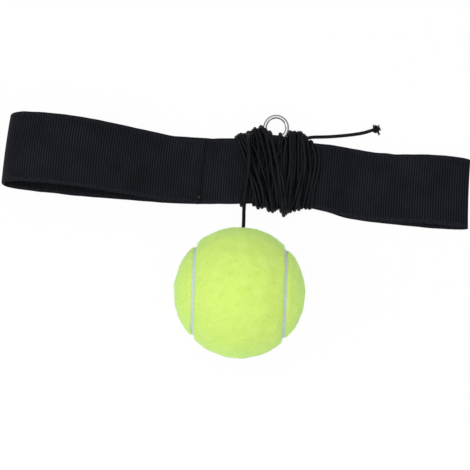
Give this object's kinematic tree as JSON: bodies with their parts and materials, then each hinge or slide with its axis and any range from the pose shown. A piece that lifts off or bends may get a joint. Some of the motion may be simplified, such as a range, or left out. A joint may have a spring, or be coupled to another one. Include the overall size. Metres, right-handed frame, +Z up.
{
  "type": "reflex ball headband",
  "caption": "Elastic headband laid flat, its middle bound with turns of thin elastic cord that runs from a steel ring at the edge down to a felt-covered hollow ball.",
  "frame": {"origin": "on the table top, under the middle of the box that holds the band and the ball", "axes": "+X along the band towards its flat end, +Y across the band away from the ball, +Z up from the table"},
  "size_m": [0.2521, 0.1329, 0.0665],
  "materials": {
    "elastic_webbing": "ribbed woven elastic, matt black",
    "polyester_thread": "black sewing thread",
    "polyester_tape": "narrow woven tape, black",
    "polished_steel": "polished, nickel plated",
    "elastic_cord": "round braided cover over rubber strands, black",
    "core_rubber": "moulded",
    "yellow_felt": "needle-punched felt, yellow-green, fuzzy",
    "seam_cement": "pale grey-green vulcanised cement"
  },
  "bodies": {
    "headband": {"elastic_band": "elastic_webbing", "join_stitching": "polyester_thread", "ring_tab": "polyester_tape", "tab_stitching": "polyester_thread", "cord_winding": "elastic_cord", "cord_tail": "elastic_cord", "tail_knot": "elastic_cord"},
    "ring": {"steel_ring": "polished_steel"},
    "bend": {"cord_bend": "elastic_cord"},
    "lead": {"cord_drop": "elastic_cord", "stopper_knot": "elastic_cord"},
    "ball": {"core_half_upper": "core_rubber", "core_half_lower": "core_rubber", "felt_upper": "yellow_felt", "felt_lower": "yellow_felt", "seam_rubber": "seam_cement"}
  },
  "joints": [
    {"name": "ring_tip", "type": "hinge", "parent": "headband", "child": "ring", "pos_m": [0.0206, 0.053, 0.00945], "axis": [0.9956, -0.0941, 0], "range_deg": [-8, 12]},
    {"name": "cord_swing", "type": "hinge", "parent": "headband", "child": "bend", "pos_m": [0.0039, 0.0155, 0.0094], "axis": [0, 0, 1], "range_deg": [-55, 55]},
    {"name": "cord_lift", "type": "hinge", "parent": "bend", "child": "lead", "pos_m": [0.0039, 0.0155, 0.0094], "axis": [-0.9986, 0.0523, 0], "range_deg": [0, 90]},
    {"name": "ball_spin", "type": "hinge", "parent": "lead", "child": "ball", "pos_m": [0.00136, -0.03299, 0.03325], "axis": [0.047, 0.8964, -0.4409], "continuous": true}
  ]
}
